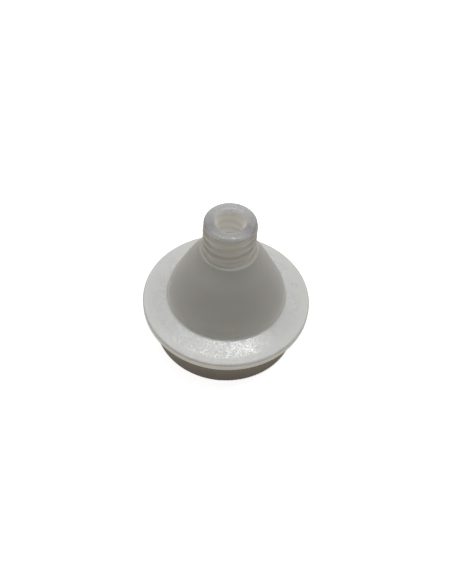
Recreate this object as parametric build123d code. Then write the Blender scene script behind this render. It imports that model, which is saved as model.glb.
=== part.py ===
from build123d import *
import os

# Plastic filter funnel of the Buchner kind, standing mouth down on its skirt.
#
# Frame: origin at the centre of the skirt rim, on the bench plane. +Z runs up the funnel's axis,
# from the wide mouth to the threaded neck. Millimetres.
#
# In use the funnel is turned over and screwed down by its neck. Liquid is poured into the skirt,
# passes the paper and the plate, runs down the cone and leaves by the neck.

# ---- driving dimensions ----------------------------------------------------------------------
FLANGE_R = 30.0            # outer radius of the wide flange
FLANGE_TOP = 16.5          # height of the flange's outer edge above the skirt rim
FLANGE_RISE = 2.2          # the flange is dished: it climbs this far from its edge to the cone
FLANGE_MID = (27.0, 0.35)  # radius and height over the edge where that climb steepens
FLANGE_MID_ROUND = 12.0
WEB = 2.2                  # thickness of the flange plate
RIM_DEPTH = 3.1            # height of the flange's edge, which hangs below the plate as a bead
RIM_WIDTH = 1.5            # radial width of that edge bead
RIM_ROUND = 0.8            # rounding of the flange's upper edge

SKIRT_R = 25.75            # outer radius of the skirt below the flange
SKIRT_WALL = 1.8

CONE_R = 20.9              # outer radius of the cone where it leaves the flange
CONE_FOOT_ROUND = 1.0      # inside corner where the cone stands on the flange
CONE_WALL = 1.9
CONE_BAND = 5.0            # height over the flange's edge where the cone turns inward
CONE_BAND_ROUND = 8.5      # the large rounding between that band and the slope
CONE_MID = (14.2, 18.7)    # radius and height over the edge where the slope leans further in
CONE_MID_ROUND = 20.0
CONE_TOP = (9.9, 25.8)     # radius and height over the edge of the narrow shoulder round the neck
CONE_TOP_ROUND = 0.4

NECK_R = 8.1               # root radius of the neck, between the threads
NECK_ROUND = 1.2           # inside corner where the neck stands on the shoulder
NECK_HEIGHT = 13.2         # shoulder to the top of the lip
BORE_R = 4.8               # outlet bore
BORE_FLARE_ROUND = 2.0     # where the bore opens into the cone
LIP_R = 8.8                # outer radius of the rounded lip
LIP_DEPTH = 2.0            # height of the lip bead
LIP_CHAMFER = 0.3          # slope under the lip bead
LIP_UNDER_ROUND = 0.2      # roundings at both ends of that slope
LIP_ROUND = 1.4            # outer rounding of the lip
MOUTH_ROUND = 1.3          # inner rounding of the lip

THREAD_R = 9.0             # crest radius of the neck thread
THREAD_PITCH = 3.175       # eight threads per inch
THREAD_TURNS = 2.9
THREAD_FOOT = 2.4          # width of a thread at the neck
THREAD_CREST = 1.1         # width of a thread at its crest
THREAD_ROUND = 0.35
THREAD_ROOTED = 0.25       # how far the thread's foot is sunk into the neck
THREAD_TOP_ANGLE = 10.0    # where the thread begins, degrees round from +X
THREAD_TOP_DROP = 2.7      # depth of that beginning below the top of the lip

DISC_R = 23.5              # a 47 mm filter disc
PAPER_T = 0.25
PLATE_T = 2.4
HOLE_R = 1.0
HOLE_STEP = 3.7            # distance from one ring of holes to the next
HOLE_RINGS = 5             # rings around the centre hole, each with six more holes than the last
GASKET_T = 1.5
GASKET_R = 23.7
GASKET_BORE_R = 20.0

RING_GAP = 0.05            # running clearance of the retaining ring in the skirt
RING_WALL = 1.6
RING_RECESS = 0.5          # how far the ring sits inside the skirt rim
NOTCHES = 3                # finger notches for pulling the ring out
NOTCH_WIDTH = 10.0
NOTCH_DEPTH = 3.2
NOTCH_ROUND = 1.6

CORNER = 0.6               # inside corners of the moulding
EDGE = 0.5                 # outside edges of the moulding
FINE_EDGE = 0.3            # edges of the small parts and of thin features

# ---- worked out from them --------------------------------------------------------------------
SKIRT_BORE_R = SKIRT_R - SKIRT_WALL
FLANGE_SLOPE = (FLANGE_RISE - FLANGE_MID[1]) / (FLANGE_MID[0] - CONE_R)
LEDGE_Z = FLANGE_TOP + FLANGE_MID[1] + FLANGE_SLOPE * (FLANGE_MID[0] - SKIRT_R) - WEB
RIM_Z = FLANGE_TOP - RIM_DEPTH
SHOULDER_Z = FLANGE_TOP + CONE_TOP[1]
LIP_Z = SHOULDER_Z + NECK_HEIGHT

PLATE_TOP = LEDGE_Z - GASKET_T
PAPER_TOP = PLATE_TOP - PLATE_T
RING_TOP = PAPER_TOP - PAPER_T


def ring_of(outer_r, inner_r, low, high):
    """A flat ring from height low to height high with rounded edges."""
    middle = Pos((outer_r + inner_r) / 2, (low + high) / 2)
    outline = middle * RectangleRounded(outer_r - inner_r, high - low, FINE_EDGE)
    return revolve(Plane.XZ * outline, axis=Axis.Z)


def outer_corners():
    """Outside of the moulding from the skirt rim up to the lip: radius, height, rounding."""
    return [
        (SKIRT_R, 0.0, EDGE),
        (SKIRT_R, LEDGE_Z, CORNER),
        (FLANGE_R - RIM_WIDTH, FLANGE_TOP + FLANGE_MID[1] - WEB, FINE_EDGE),
        (FLANGE_R - RIM_WIDTH, RIM_Z, FINE_EDGE),
        (FLANGE_R, RIM_Z, CORNER),
        (FLANGE_R, FLANGE_TOP, RIM_ROUND),
        (FLANGE_MID[0], FLANGE_TOP + FLANGE_MID[1], FLANGE_MID_ROUND),
        (CONE_R, FLANGE_TOP + FLANGE_RISE, CONE_FOOT_ROUND),
        (CONE_R, FLANGE_TOP + CONE_BAND, CONE_BAND_ROUND),
        (CONE_MID[0], FLANGE_TOP + CONE_MID[1], CONE_MID_ROUND),
        (CONE_TOP[0], SHOULDER_Z, CONE_TOP_ROUND),
        (NECK_R, SHOULDER_Z, NECK_ROUND),
        (NECK_R, LIP_Z - LIP_DEPTH, LIP_UNDER_ROUND),
        (LIP_R, LIP_Z - LIP_DEPTH + LIP_CHAMFER, LIP_UNDER_ROUND),
        (LIP_R, LIP_Z, LIP_ROUND),
    ]


def inner_corners():
    """Inside of the moulding from the lip down to the skirt rim: radius, height, rounding."""
    cone_bore_r = CONE_R - CONE_WALL
    return [
        (BORE_R, LIP_Z, MOUTH_ROUND),
        (BORE_R, SHOULDER_Z, BORE_FLARE_ROUND),
        (CONE_TOP[0] - CONE_WALL, SHOULDER_Z - CONE_WALL, BORE_FLARE_ROUND),
        (CONE_MID[0] - CONE_WALL, FLANGE_TOP + CONE_MID[1] - CONE_WALL / 2, CONE_MID_ROUND),
        (cone_bore_r, FLANGE_TOP + CONE_BAND, CONE_BAND_ROUND),
        (cone_bore_r, LEDGE_Z, FINE_EDGE),
        (SKIRT_BORE_R, LEDGE_Z, FINE_EDGE),
        (SKIRT_BORE_R, 0.0, FINE_EDGE),
    ]


def thread_section():
    """Cross-section of the thread, with x outward from the neck's root and y along its axis."""
    height = THREAD_R - NECK_R
    corners = [
        (-THREAD_ROOTED, -THREAD_FOOT / 2),
        (height, -THREAD_CREST / 2),
        (height, THREAD_CREST / 2),
        (-THREAD_ROOTED, THREAD_FOOT / 2),
    ]
    roundings = [0, THREAD_ROUND, THREAD_ROUND, 0]
    return make_face(FilletPolyline(corners, radius=roundings, close=True))


def neck_thread():
    """Right-hand bottle-neck thread: a rounded ridge wound round the neck, with round ends."""
    rise = THREAD_PITCH * THREAD_TURNS
    low_end = Rot(0, 0, THREAD_TOP_ANGLE - 360 * THREAD_TURNS)
    low_end *= Pos(0, 0, LIP_Z - THREAD_TOP_DROP - rise)
    helix = low_end * Helix(THREAD_PITCH, rise, NECK_R)

    section = thread_section()
    upper_half = section & Pos(0, THREAD_FOOT) * Rectangle(4 * THREAD_FOOT, 2 * THREAD_FOOT)
    round_end = revolve(upper_half, axis=Axis.X)

    stations = []
    for end in (0, 1):
        point = helix @ end
        outward = Vector(point.X, point.Y, 0)
        stations.append(Plane(origin=point, x_dir=outward, z_dir=helix % end))
    ridge = sweep(stations[0] * section, path=helix, is_frenet=True)
    return ridge + stations[0] * round_end + stations[1] * round_end


def funnel_body():
    """The funnel moulding: skirt, flange, cone and threaded neck in one piece."""
    corners = outer_corners() + inner_corners()
    points = [(radius, height) for radius, height, rounding in corners]
    roundings = [rounding for radius, height, rounding in corners]
    section = make_face(FilletPolyline(points, radius=roundings, close=True))
    shell = revolve(Plane.XZ * section, axis=Axis.Z)
    return shell + neck_thread()


def seat_gasket():
    """Soft flat ring that seals the plate against the ledge under the flange."""
    return ring_of(GASKET_R, GASKET_BORE_R, PLATE_TOP, LEDGE_Z)


def perforated_plate():
    """Stiff disc with rings of drain holes that carries the paper."""
    middle = Pos(0, 0, PAPER_TOP + PLATE_T / 2)
    disc = middle * Cylinder(DISC_R, PLATE_T)
    disc = fillet(disc.edges().filter_by(GeomType.CIRCLE), FINE_EDGE)
    drill = middle * Cylinder(HOLE_R, 2 * PLATE_T)
    holes = [drill]
    for ring in range(1, HOLE_RINGS + 1):
        count = 6 * ring
        for step in range(count):
            holes.append(Rot(0, 0, 360 * step / count) * Pos(HOLE_STEP * ring, 0, 0) * drill)
    return disc - holes


def filter_paper():
    """Loose filter disc lying against the mouth side of the plate."""
    return Pos(0, 0, RING_TOP + PAPER_T / 2) * Cylinder(DISC_R, PAPER_T)


def retaining_ring():
    """Push-in sleeve that holds paper, plate and gasket up against the ledge."""
    outer_r = SKIRT_BORE_R - RING_GAP
    sleeve = ring_of(outer_r, outer_r - RING_WALL, RING_RECESS, RING_TOP)
    notch = Pos(0, RING_RECESS) * RectangleRounded(NOTCH_WIDTH, 2 * NOTCH_DEPTH, NOTCH_ROUND)
    cutter = extrude(Plane.XZ * notch, amount=2 * outer_r)
    for step in range(NOTCHES):
        sleeve -= Rot(0, 0, 360 * step / NOTCHES) * cutter
    return sleeve


PARTS = {
    "funnel_body": funnel_body,
    "seat_gasket": seat_gasket,
    "perforated_plate": perforated_plate,
    "filter_paper": filter_paper,
    "retaining_ring": retaining_ring,
}

os.makedirs("parts", exist_ok=True)
for node, make in PARTS.items():
    export_step(make(), f"parts/{node}.step")
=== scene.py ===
import math
from types import SimpleNamespace
from typing import NamedTuple

import bpy
from mathutils import Matrix, Vector


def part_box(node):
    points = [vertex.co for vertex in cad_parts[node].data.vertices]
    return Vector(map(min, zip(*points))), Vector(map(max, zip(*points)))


# Looks, floor, light and camera for the plastic filter funnel. Lengths are in metres, but for the
# lens and its sensor.

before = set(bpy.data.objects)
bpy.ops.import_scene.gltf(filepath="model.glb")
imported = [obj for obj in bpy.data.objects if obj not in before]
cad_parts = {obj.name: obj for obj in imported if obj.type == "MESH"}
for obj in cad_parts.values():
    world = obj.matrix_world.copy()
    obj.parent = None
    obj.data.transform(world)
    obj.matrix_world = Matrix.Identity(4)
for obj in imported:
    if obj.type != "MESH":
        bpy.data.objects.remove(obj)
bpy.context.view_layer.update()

# ---- sizes -------------------------------------------------------------------------------------
MM = 0.001
body_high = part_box("funnel_body")[1]
FLANGE_R = body_high.x
LIP_Z = body_high.z
LEDGE_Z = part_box("seat_gasket")[1].z
FLANGE_TOP = LIP_Z - 39.0 * MM
CONE_R = 0.697 * FLANGE_R
NECK_FOOT_Z = LIP_Z - 13.2 * MM
BORE_R = 0.16 * FLANGE_R
THREAD_PITCH = 3.175 * MM
THREAD_TOP_Z = LIP_Z - 2.7 * MM
THREAD_TOP_TURN = 10.0 / 360.0

# ---- where the moulding's looks change: from and to, as a height, a radius or a y --------------
ONTO_FLANGE_Z = (FLANGE_TOP - 0.5 * MM, FLANGE_TOP - 0.1 * MM)
OFF_CONE_R = (CONE_R + 0.1 * MM, CONE_R + 0.8 * MM)
ONTO_RIM_R = (FLANGE_R - 1.2 * MM, FLANGE_R - 0.1 * MM)
OFF_RIM_Z = (FLANGE_TOP - 0.9 * MM, FLANGE_TOP - 0.2 * MM)
ROUGHER_RIM_R = (0.87 * FLANGE_R, 0.96 * FLANGE_R)
DULLER_RIM_R = (0.85 * FLANGE_R, 0.94 * FLANGE_R)
OFF_SKIRT_Z = (LEDGE_Z - 0.5 * MM, LEDGE_Z)
UP_SKIRT_Z = (0.2 * LEDGE_Z, 1.05 * LEDGE_Z)
ONTO_FOOT_Z = (LEDGE_Z, FLANGE_TOP)
OFF_FOOT_Z = (FLANGE_TOP + 1.5 * MM, FLANGE_TOP + 10.0 * MM)
ONTO_SHOULDER_Z = (NECK_FOOT_Z - 0.5 * MM, NECK_FOOT_Z + 0.1 * MM)
ONTO_CORNER_Z = (NECK_FOOT_Z - 0.12 * MM, NECK_FOOT_Z)
OFF_CORNER_Z = (NECK_FOOT_Z + 0.2 * MM, NECK_FOOT_Z + 1.3 * MM)
ONTO_NECK_Z = (NECK_FOOT_Z - 0.1 * MM, NECK_FOOT_Z + 0.5 * MM)
UP_NECK_Z = (NECK_FOOT_Z + 0.6 * MM, NECK_FOOT_Z + 1.6 * MM)
OFF_THREAD_Z = (LIP_Z - 3.0 * MM, LIP_Z - 2.0 * MM)
ONTO_LIP_Z = (LIP_Z - 2.2 * MM, LIP_Z - 0.6 * MM)
# where the lip's painted back light rises, toward +Y
TO_LIP_BACK_Y = (-0.5 * BORE_R, 2.0 * BORE_R)
OFF_BORE_R = (BORE_R + 0.1 * MM, BORE_R + 0.8 * MM)

# ---- colours, as red, green and blue -----------------------------------------------------------
CONE_TINTS = ((0.53, 0.525, 0.485), (0.565, 0.56, 0.525))
# painted light: the flange's lighter tint stands for light passing through the thin flange, which is the
# same plastic as the cone
FLANGE_LIT_TINT = (0.71, 0.715, 0.70)
# painted shade: the skirt's darker brown tint stands for the shade under the flange and its warm bounce
# light
SKIRT_SHADE_TINT = (0.50, 0.46, 0.40)
# painted shade: the darker brownish neck tint stands for the neck's shade, and on the shoulder for the
# shadow the neck casts
NECK_SHADE_TINT = (0.36, 0.335, 0.29)
# painted light: the lip's darker grey tint is lifted again by its glow, which stands for light carried
# through the lip
LIP_TINT = (0.42, 0.42, 0.43)
GLOW_TINT = (1.0, 0.965, 0.89)
# painted light: warm glow colour for the bounce light under the flange
SKIRT_BOUNCE_GLOW_TINT = (1.0, 0.88, 0.70)
LIP_GLOW_TINT = (0.97, 0.98, 1.0)
PAPER_TINTS = ((0.88, 0.865, 0.82), (0.965, 0.96, 0.93))
PAPER_GLOW_TINT = (1.0, 0.98, 0.93)
FLOOR_TINT = (0.36, 0.33, 0.29)
FLOOR_TINT_SEEN = (0.9, 0.9, 0.9)
WHITE = (1.0, 1.0, 1.0)

# how much of the painted shade tint the skirt takes
SKIRT_SHADE_TINT_SHARE = 0.8
# how much of the painted shade tint the shoulder and the upper neck take
SHOULDER_SHADE_TINT_SHARE = 0.42
NECK_SHADE_TINT_SHARE = 0.74

# ---- the moulding's surface: what the satin cone has, and what the other zones add to it -------
MOTTLE_SIZE = 9 * MM
SATIN_ROUGHNESS = (0.40, 0.46)
SATIN_PATCH = 4 * MM
NECK_ROUGHNESS = -0.22
LIP_ROUGHNESS = 0.05
FLANGE_ROUGHNESS = -0.15
RIM_ROUGHNESS = 0.16
SHINE = 0.5
LIP_SHINE = -0.18
RIM_SHINE_SHARE = 0.6
FLECK_SIZE = 0.40 * MM
FLECK_NOISE = (0.40, 0.61)
FLECK_SHINE = (-0.55, 0.98)
SATIN_STRENGTH = 0.35
WAVE_SIZE = 2.4 * MM
WAVE_HEIGHT = 0.16 * MM
EROSION_SIZE = 0.42 * MM
EROSION_HEIGHT = 0.04 * MM
NECK_CLEARNESS = 0.5
LIP_CLEARNESS = -0.02
SCATTER = 2.4 * MM
SCATTER_COLOUR = (1.0, 0.9, 0.72)
PLASTIC_IOR = 1.49

# ---- painted light: the surface's own light, which stands for light carried through the translucent walls -----
RIM_GLOW = 0.26
# painted light: warm bounce light on the skirt under the flange, stronger toward its top
SKIRT_BOUNCE_GLOW = 0.01
SKIRT_TOP_BOUNCE_GLOW = 0.08
# painted light: lightens the lower cone toward its foot on the flange, where shade gathers
FOOT_PAINTED_LIGHT = 0.06
# painted highlight: a glow that lightens the surface where it is seen edge-on, along the silhouettes
PAINTED_EDGE_HIGHLIGHT = 0.10
EDGE_ON_POWER = 3.0
# painted light on the neck, a little stronger on the thread crests
NECK_GLOW = 0.111
NECK_CREST_GLOW = 0.004
LIP_GLOW_LOSS = -0.45
# painted light: lifts the shade in the corner at the neck's foot
CORNER_PAINTED_LIGHT = 0.052
# painted light: the lip is lighter toward +Y, as if lit through from behind
LIP_BACK_PAINTED_LIGHT = 0.10
# painted light in the bore, and painted shadows of the threads seen through its wall
BORE_GLOW = 0.055
BORE_PAINTED_THREAD_SHADOW = -0.024

# ---- all surfaces ------------------------------------------------------------------------------
NOISE_MIDDLE = (0.3, 0.7)    # most of a fractal noise's values lie between these two
FINE_SIZE = 0.25 * MM
FINE_HEIGHT = 0.02 * MM
FINE_STRENGTH = 0.4

# ---- filter paper ------------------------------------------------------------------------------
FIBRE_SIZE = 0.8 * MM
FIBRE_HEIGHT = 0.08 * MM
FIBRE_STRENGTH = 0.7
ALONG_FIBRE = (1.0, 0.35, 1.0)    # draws the fibres out along Y
PAPER_ROUGHNESS = 0.95
# painted light: the paper's own glow, which lifts it out of the funnel's shade
PAPER_GLOW = 0.10

# ---- floor and light ---------------------------------------------------------------------------
FLOOR_REACH = 3.0
FLOOR_ROUGHNESS = 0.9
FLOOR_LIGHT = 0.80
FLOOR_SHARE_THROUGH = 0.6    # how white the floor is when it is seen through clear plastic
OVERHEAD_PLACE = (0.019, 0.045, 0.52)
OVERHEAD_AIM = (0.0, 0.0, 0.02)
OVERHEAD_SIZE = (0.42, 0.13)
OVERHEAD_WATTS = 1.45
ROOM_LIT_FROM = (0.0, 0.6, 0.8)    # the direction of the room's lightest part
ROOM_LIT_RANGE = (-0.7, 1.0)
ROOM_LIGHT = (0.07, 0.29)
ROOM_SIDE_LIGHT = 0.165
ROOM_SIDE_SHIFT = 0.1    # makes the side toward -X lighter than the side toward +X
ROOM_LIGHT_THROUGH = 0.45    # added where the room is seen through clear plastic

# ---- the view ----------------------------------------------------------------------------------
VIEW_ELEVATION = math.radians(51.39)
VIEW_DISTANCE = 9.217 * FLANGE_R
VIEW_ROLL = math.radians(3.34)
VIEW_SHIFT = -0.00086
LOOK_AT = Vector((0.0, 0.0, FLANGE_TOP + 0.0707 * FLANGE_R))
LENS_MM = 47.57
SENSOR_MM = 36.0
NEAREST_SEEN = 0.01


# ---- node helpers ------------------------------------------------------------------------------
def rgba(tint):
    return (*tint, 1.0)


class Graph:
    """Short calls for building a material's node tree.

    x, y and z tell where a point lies; radius is its distance from the funnel's axis, and turn is
    its angle round that axis, in whole turns.
    """

    def __init__(self, name):
        self.material = bpy.data.materials.new(name)
        self.material.use_nodes = True
        self.tree = self.material.node_tree
        self.tree.nodes.clear()
        output = self.add("ShaderNodeOutputMaterial")
        self.shader = self.add("ShaderNodeBsdfPrincipled")
        self.join(self.shader.outputs[0], output.inputs["Surface"])
        self.place = self.add("ShaderNodeTexCoord").outputs["Object"]
        split = self.add("ShaderNodeSeparateXYZ")
        self.join(self.place, split.inputs[0])
        self.x, self.y, self.z = split.outputs
        self.radius = self.math("SQRT", self.plus(self.times(self.x, self.x), self.times(self.y, self.y)))
        self.edge_on = self.add("ShaderNodeLayerWeight").outputs["Facing"]
        self.turn = self.math("DIVIDE", self.math("ARCTAN2", self.y, self.x), 2 * math.pi)

    def add(self, kind, **settings):
        node = self.tree.nodes.new(kind)
        for key, value in settings.items():
            setattr(node, key, value)
        return node

    def join(self, source, target):
        """Links a socket to target, or puts a plain value there."""
        if isinstance(source, bpy.types.NodeSocket):
            self.tree.links.new(source, target)
        else:
            target.default_value = source

    def math(self, operation, a, b=0.0, c=0.0):
        node = self.add("ShaderNodeMath", operation=operation)
        for socket, value in zip(node.inputs, (a, b, c)):
            self.join(value, socket)
        return node.outputs[0]

    def plus(self, a, b):
        return self.math("ADD", a, b)

    def minus(self, a, b):
        return self.math("SUBTRACT", a, b)

    def times(self, a, b):
        return self.math("MULTIPLY", a, b)

    def scaled(self, value, factor, base):
        """value * factor + base."""
        return self.math("MULTIPLY_ADD", value, factor, base)

    def ramp(self, value, low, high, at_low, at_high):
        """Smooth change from at_low to at_high as value runs from low to high."""
        node = self.add("ShaderNodeMapRange", interpolation_type="SMOOTHSTEP")
        names = ("Value", "From Min", "From Max", "To Min", "To Max")
        for key, item in zip(names, (value, low, high, at_low, at_high)):
            self.join(item, node.inputs[key])
        return node.outputs["Result"]

    def rise(self, value, span):
        return self.ramp(value, *span, 0.0, 1.0)

    def fall(self, value, span):
        return self.ramp(value, *span, 1.0, 0.0)

    def noise(self, size, detail=2.0, roughness=0.5, stretch=(1.0, 1.0, 1.0)):
        """Fractal noise whose features are about size metres across."""
        mapping = self.add("ShaderNodeMapping")
        self.join(self.place, mapping.inputs["Vector"])
        mapping.inputs["Scale"].default_value = stretch
        node = self.add("ShaderNodeTexNoise")
        self.join(mapping.outputs[0], node.inputs["Vector"])
        node.inputs["Scale"].default_value = 1.0 / size
        node.inputs["Detail"].default_value = detail
        node.inputs["Roughness"].default_value = roughness
        return node.outputs["Fac"]

    def uneven(self, size, span):
        """A value that drifts between the two ends of span over patches of the given size."""
        return self.ramp(self.noise(size, detail=4.0), *NOISE_MIDDLE, *span)

    def mix(self, factor, a, b):
        """Mix of two colours, each a socket or a plain tint."""
        node = self.add("ShaderNodeMix", data_type="RGBA")
        self.join(factor, node.inputs[0])
        for colour, socket in ((a, node.inputs[6]), (b, node.inputs[7])):
            self.join(rgba(colour) if isinstance(colour, tuple) else colour, socket)
        return node.outputs[2]

    def bump(self, height, distance, strength, after=None):
        node = self.add("ShaderNodeBump")
        self.join(height, node.inputs["Height"])
        node.inputs["Distance"].default_value = distance
        self.join(strength, node.inputs["Strength"])
        if after is not None:
            self.join(after, node.inputs["Normal"])
        return node.outputs[0]

    def set(self, **values):
        """Sets inputs of the main shader; underscores stand for spaces."""
        for key, value in values.items():
            self.join(value, self.shader.inputs[key.replace("_", " ")])


# ---- the funnel's own plastic ------------------------------------------------------------------
def funnel_zones(g):
    """Masks that tell where on the moulding a point lies, each from 0 to 1."""
    off_cone = g.rise(g.radius, OFF_CONE_R)
    rim = g.times(g.rise(g.radius, ONTO_RIM_R), g.fall(g.z, OFF_RIM_Z))
    foot = g.times(g.fall(g.z, OFF_FOOT_Z), g.minus(1.0, off_cone))
    neck = g.rise(g.z, ONTO_NECK_Z)
    return SimpleNamespace(
        flange=g.times(g.rise(g.z, ONTO_FLANGE_Z), off_cone),
        rim=rim,
        skirt=g.times(g.fall(g.z, OFF_SKIRT_Z), g.minus(1.0, rim)),
        foot=g.times(foot, g.rise(g.z, ONTO_FOOT_Z)),
        shoulder=g.rise(g.z, ONTO_SHOULDER_Z),
        corner=g.times(g.fall(g.z, OFF_CORNER_Z), g.rise(g.z, ONTO_CORNER_Z)),
        neck=neck,
        upper_neck=g.rise(g.z, UP_NECK_Z),
        lip=g.rise(g.z, ONTO_LIP_Z),
        bore=g.times(neck, g.fall(g.radius, OFF_BORE_R)),
    )


def thread_crest(g):
    """1 level with a crest of the thread and -1 level with a groove, fading to 0 at the lip."""
    climb = g.math("DIVIDE", g.minus(g.z, THREAD_TOP_Z), THREAD_PITCH)
    wound = g.minus(g.plus(climb, THREAD_TOP_TURN), g.turn)
    crest = g.math("COSINE", g.times(wound, 2 * math.pi))
    return g.times(crest, g.fall(g.z, OFF_THREAD_Z))


def funnel_tint(g, at):
    """Milky grey with a random mottle; painted light makes it lighter on the flange, and painted shade
    makes it browner on the skirt and darker on the shoulder, neck and lip.
    """
    tint = g.mix(g.noise(MOTTLE_SIZE, detail=3.0), *CONE_TINTS)
    # painted light: lighter tint on the flange
    tint = g.mix(at.flange, tint, FLANGE_LIT_TINT)
    # painted shade: darker brown tint on the skirt
    tint = g.mix(g.times(at.skirt, SKIRT_SHADE_TINT_SHARE), tint, SKIRT_SHADE_TINT)
    # painted shade: darker tint on the shoulder and the neck
    tint = g.mix(g.times(at.shoulder, SHOULDER_SHADE_TINT_SHARE), tint, NECK_SHADE_TINT)
    tint = g.mix(g.times(at.upper_neck, NECK_SHADE_TINT_SHARE), tint, NECK_SHADE_TINT)
    # darker grey lip tint, lifted again by the lip's painted glow
    return g.mix(at.lip, tint, LIP_TINT)


def funnel_roughness(g, at):
    rough = g.uneven(SATIN_PATCH, SATIN_ROUGHNESS)
    rough = g.plus(rough, g.times(at.neck, NECK_ROUGHNESS))
    rough = g.plus(rough, g.times(at.lip, LIP_ROUGHNESS))
    rough = g.plus(rough, g.times(at.flange, FLANGE_ROUGHNESS))
    return g.plus(rough, g.ramp(g.radius, *ROUGHER_RIM_R, 0.0, RIM_ROUGHNESS))


def funnel_shine(g, at):
    """Even on cone, skirt and neck, less on lip and rim; the flange glitters in fine flecks."""
    flecks = g.ramp(g.noise(FLECK_SIZE, detail=1.0), *FLECK_NOISE, *FLECK_SHINE)
    shine = g.scaled(at.flange, flecks, SHINE)
    shine = g.plus(shine, g.times(at.lip, LIP_SHINE))
    return g.times(shine, g.ramp(g.radius, *DULLER_RIM_R, 1.0, RIM_SHINE_SHARE))


def funnel_relief(g, at):
    """Fine satin everywhere but on the flange, soft waves on the neck, erosion on the flange."""
    satin = g.noise(FINE_SIZE, detail=3.0)
    waves = g.noise(WAVE_SIZE, detail=1.0)
    erosion = g.noise(EROSION_SIZE, detail=1.5)
    normal = g.bump(satin, FINE_HEIGHT, g.scaled(at.flange, -SATIN_STRENGTH, SATIN_STRENGTH))
    normal = g.bump(waves, WAVE_HEIGHT, at.neck, after=normal)
    return g.bump(erosion, EROSION_HEIGHT, at.flange, after=normal)


# Painted light: the moulding's emission, standing for light carried through its walls; the shares also
# paint bounce light, light in shaded corners, a highlight on the silhouettes and thread shadows in the
# bore.
def funnel_glow(g, at):
    crest = thread_crest(g)
    neck_wall = g.times(at.neck, g.scaled(crest, NECK_CREST_GLOW, NECK_GLOW))
    shares = [
        # painted light: warm bounce light on the skirt, stronger toward the flange
        g.times(at.skirt, g.scaled(g.rise(g.z, UP_SKIRT_Z), SKIRT_TOP_BOUNCE_GLOW, SKIRT_BOUNCE_GLOW)),
        # painted light in the shade at the cone's foot
        g.times(at.foot, FOOT_PAINTED_LIGHT),
        # painted highlight along the silhouettes
        g.times(g.math("POWER", g.edge_on, EDGE_ON_POWER), PAINTED_EDGE_HIGHLIGHT),
        g.times(neck_wall, g.scaled(at.lip, LIP_GLOW_LOSS, 1.0)),
        # painted light in the shaded corner at the neck's foot
        g.times(at.corner, CORNER_PAINTED_LIGHT),
        # painted light: lip lighter toward the back
        g.times(at.lip, g.ramp(g.y, *TO_LIP_BACK_Y, 0.0, LIP_BACK_PAINTED_LIGHT)),
        # painted light in the bore, with painted thread shadows
        g.times(at.bore, g.scaled(crest, BORE_PAINTED_THREAD_SHADOW, BORE_GLOW)),
    ]
    glow = g.times(at.rim, RIM_GLOW)
    for share in shares:
        glow = g.plus(glow, share)
    return glow


def funnel_plastic():
    """Milky natural polypropylene: satin cone, glittering flange, smoother and clearer neck."""
    g = Graph("milky_polypropylene")
    at = funnel_zones(g)
    g.set(Base_Color=funnel_tint(g, at))
    g.set(Roughness=funnel_roughness(g, at))
    g.set(Specular_IOR_Level=funnel_shine(g, at))
    g.set(Normal=funnel_relief(g, at))
    g.set(Subsurface_Weight=1.0, Subsurface_Scale=SCATTER, Subsurface_Radius=SCATTER_COLOUR)
    clear = g.times(at.neck, g.scaled(at.lip, LIP_CLEARNESS, NECK_CLEARNESS))
    g.set(IOR=PLASTIC_IOR, Transmission_Weight=clear)
    glow_tint = g.mix(at.lip, g.mix(at.skirt, GLOW_TINT, SKIRT_BOUNCE_GLOW_TINT), LIP_GLOW_TINT)
    # painted light: the emission built above
    g.set(Emission_Color=glow_tint, Emission_Strength=funnel_glow(g, at))
    return g.material


# ---- the other materials -----------------------------------------------------------------------
class Finish(NamedTuple):
    """Look of a plain moulded piece."""

    name: str
    tints: tuple
    tint_patch: float
    roughness: tuple
    rough_patch: float
    grain: float
    scatter_share: float
    scatter: float
    # glow_tint and glow: painted light, standing for light carried through the piece, which lifts it out
    # of the funnel's shade
    glow_tint: tuple
    glow: float


SILICONE = Finish(
    name="silicone",
    tints=((0.68, 0.60, 0.51), (0.75, 0.67, 0.58)),
    tint_patch=3 * MM,
    roughness=(0.38, 0.55),
    rough_patch=1.5 * MM,
    grain=0.3 * MM,
    scatter_share=0.6,
    scatter=1.5 * MM,
    glow_tint=(1.0, 0.93, 0.84),
    glow=0.06,
)
WHITE_PLASTIC = Finish(
    name="white_polypropylene",
    tints=((0.85, 0.85, 0.83), (0.90, 0.90, 0.885)),
    tint_patch=6 * MM,
    roughness=(0.35, 0.5),
    rough_patch=2 * MM,
    grain=FINE_SIZE,
    scatter_share=0.5,
    scatter=1.5 * MM,
    glow_tint=(1.0, 0.99, 0.96),
    glow=0.09,
)
RING_PLASTIC = Finish(
    name="ring_polypropylene",
    tints=((0.74, 0.735, 0.70), (0.80, 0.795, 0.77)),
    tint_patch=7 * MM,
    roughness=(0.32, 0.44),
    rough_patch=3 * MM,
    grain=FINE_SIZE,
    scatter_share=1.0,
    scatter=2.0 * MM,
    glow_tint=(1.0, 0.985, 0.94),
    glow=0.08,
)


def moulded(finish):
    g = Graph(finish.name)
    g.set(Base_Color=g.mix(g.noise(finish.tint_patch), *finish.tints))
    g.set(Roughness=g.uneven(finish.rough_patch, finish.roughness))
    g.set(Normal=g.bump(g.noise(finish.grain, detail=3.0), FINE_HEIGHT, FINE_STRENGTH))
    g.set(Subsurface_Weight=finish.scatter_share, Subsurface_Scale=finish.scatter)
    g.set(Emission_Color=rgba(finish.glow_tint), Emission_Strength=finish.glow)
    return g.material


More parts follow.
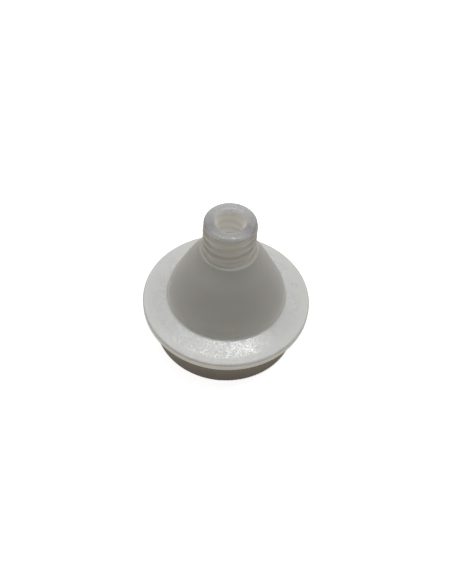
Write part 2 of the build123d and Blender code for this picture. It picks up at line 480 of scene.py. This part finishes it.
def filter_paper():
    """Unglazed paper."""
    g = Graph("filter_paper")
    fibre = g.noise(FIBRE_SIZE, detail=5.0, roughness=0.65, stretch=ALONG_FIBRE)
    g.set(Base_Color=g.mix(fibre, *PAPER_TINTS), Roughness=PAPER_ROUGHNESS)
    g.set(Normal=g.bump(fibre, FIBRE_HEIGHT, FIBRE_STRENGTH))
    # painted light: the paper's own glow
    g.set(Emission_Color=rgba(PAPER_GLOW_TINT), Emission_Strength=PAPER_GLOW)
    return g.material


MATERIALS = {
    "funnel_body": funnel_plastic(),
    "seat_gasket": moulded(SILICONE),
    "perforated_plate": moulded(WHITE_PLASTIC),
    "filter_paper": filter_paper(),
    "retaining_ring": moulded(RING_PLASTIC),
}
for node, material in MATERIALS.items():
    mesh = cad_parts[node].data
    mesh.materials.clear()
    mesh.materials.append(material)


# ---- floor, light and camera -------------------------------------------------------------------
def place_in_scene(name, data):
    thing = bpy.data.objects.new(name, data)
    bpy.context.scene.collection.objects.link(thing)
    return thing


def floor():
    """Nearly white where it is seen; darker and browner for the light that it throws back."""
    mesh = bpy.data.meshes.new("floor")
    corners = [(x * FLOOR_REACH, y * FLOOR_REACH, 0) for x, y in ((-1, -1), (1, -1), (1, 1), (-1, 1))]
    mesh.from_pydata(corners, [], [(0, 1, 2, 3)])
    piece = place_in_scene("floor", mesh)
    g = Graph("pale_floor")
    path = g.add("ShaderNodeLightPath").outputs
    through = g.times(path["Is Transmission Ray"], FLOOR_SHARE_THROUGH)
    seen = g.math("MAXIMUM", path["Is Camera Ray"], through)
    g.set(Base_Color=g.mix(seen, FLOOR_TINT, FLOOR_TINT_SEEN), Roughness=FLOOR_ROUGHNESS)
    g.set(Emission_Color=rgba(WHITE), Emission_Strength=g.times(seen, FLOOR_LIGHT))
    mesh.materials.append(g.material)


def overhead_softbox():
    light = bpy.data.lights.new("overhead", "AREA")
    light.shape = "RECTANGLE"
    light.size, light.size_y = OVERHEAD_SIZE
    light.energy = OVERHEAD_WATTS
    holder = place_in_scene("overhead", light)
    holder.location = OVERHEAD_PLACE
    away = Vector(OVERHEAD_PLACE) - Vector(OVERHEAD_AIM)
    holder.rotation_euler = away.to_track_quat("Z", "Y").to_euler()


def room():
    """White to the camera; to all else a soft room, lighter overhead, behind and at both sides."""
    world = bpy.data.worlds.new("room")
    bpy.context.scene.world = world
    world.use_nodes = True
    tree = world.node_tree

    def fill(node, values):
        for socket, value in zip(node.inputs, values):
            if isinstance(value, bpy.types.NodeSocket):
                tree.links.new(value, socket)
            else:
                socket.default_value = value

    def step(kind, operation, *values):
        node = tree.nodes.new(kind)
        node.operation = operation
        fill(node, values)
        return node.outputs["Value"]

    toward = tree.nodes.new("ShaderNodeTexCoord").outputs["Generated"]
    path = tree.nodes.new("ShaderNodeLightPath").outputs
    lit = step("ShaderNodeVectorMath", "DOT_PRODUCT", toward, ROOM_LIT_FROM)
    sideways = step("ShaderNodeVectorMath", "DOT_PRODUCT", toward, (1.0, 0.0, 0.0))
    sideways = step("ShaderNodeMath", "SUBTRACT", sideways, ROOM_SIDE_SHIFT)
    sides = step("ShaderNodeMath", "MULTIPLY", sideways, sideways)
    ramp = tree.nodes.new("ShaderNodeMapRange")
    ramp.interpolation_type = "SMOOTHSTEP"
    fill(ramp, (lit, *ROOM_LIT_RANGE, *ROOM_LIGHT))
    soft = step("ShaderNodeMath", "MULTIPLY_ADD", sides, ROOM_SIDE_LIGHT, ramp.outputs[0])
    soft = step("ShaderNodeMath", "MULTIPLY_ADD", path["Is Transmission Ray"], ROOM_LIGHT_THROUGH, soft)
    strength = step("ShaderNodeMath", "MAXIMUM", soft, path["Is Camera Ray"])
    background = tree.nodes["Background"]
    background.inputs["Color"].default_value = rgba(WHITE)
    tree.links.new(strength, background.inputs["Strength"])


def camera():
    lens = bpy.data.cameras.new("camera")
    lens.lens = LENS_MM
    lens.sensor_width = SENSOR_MM
    lens.shift_x = VIEW_SHIFT
    lens.clip_start = NEAREST_SEEN
    holder = place_in_scene("camera", lens)
    outward = Vector((0.0, -math.cos(VIEW_ELEVATION), math.sin(VIEW_ELEVATION)))
    tilt = Matrix.Rotation(math.radians(90) - VIEW_ELEVATION, 4, "X")
    turn = tilt @ Matrix.Rotation(VIEW_ROLL, 4, "Z")
    holder.matrix_world = Matrix.Translation(LOOK_AT + VIEW_DISTANCE * outward) @ turn
    bpy.context.scene.camera = holder


floor()
room()
overhead_softbox()
camera()
bpy.context.scene.view_settings.view_transform = "Standard"
